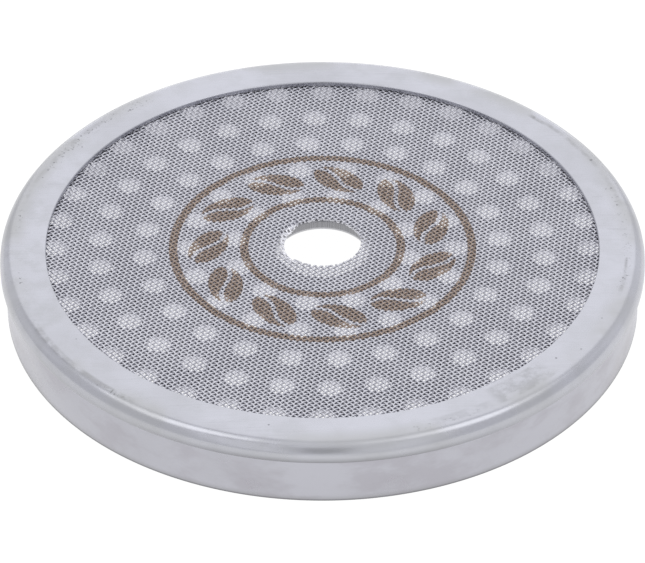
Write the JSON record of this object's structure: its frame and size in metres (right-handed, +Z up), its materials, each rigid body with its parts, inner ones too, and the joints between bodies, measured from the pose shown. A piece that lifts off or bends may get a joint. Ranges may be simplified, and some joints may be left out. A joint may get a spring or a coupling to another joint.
{
  "type": "espresso shower screen",
  "caption": "Round stainless shower screen: fine wire cloth over a perforated cup, clamped by a pressed rim, with a central screw hole.",
  "frame": {"origin": "centre of the circle that the skirt stands on", "axes": "+Z up along the screen's axis, from the skirt towards the wire cloth; -Y faces the viewer of the picture"},
  "size_m": [0.06, 0.06, 0.0065],
  "materials": {
    "rim_steel": "pressed and finely brushed stainless sheet, cool grey, with small scuffs and pits",
    "cup_steel": "drawn stainless sheet, satin, with punched holes",
    "wire_cloth": "plain-weave stainless wire cloth with a brown laser-tinted ornament"
  },
  "bodies": {
    "root": {"rim_ring": "rim_steel", "perforated_cup": "cup_steel", "woven_screen": "wire_cloth"}
  },
  "joints": []
}
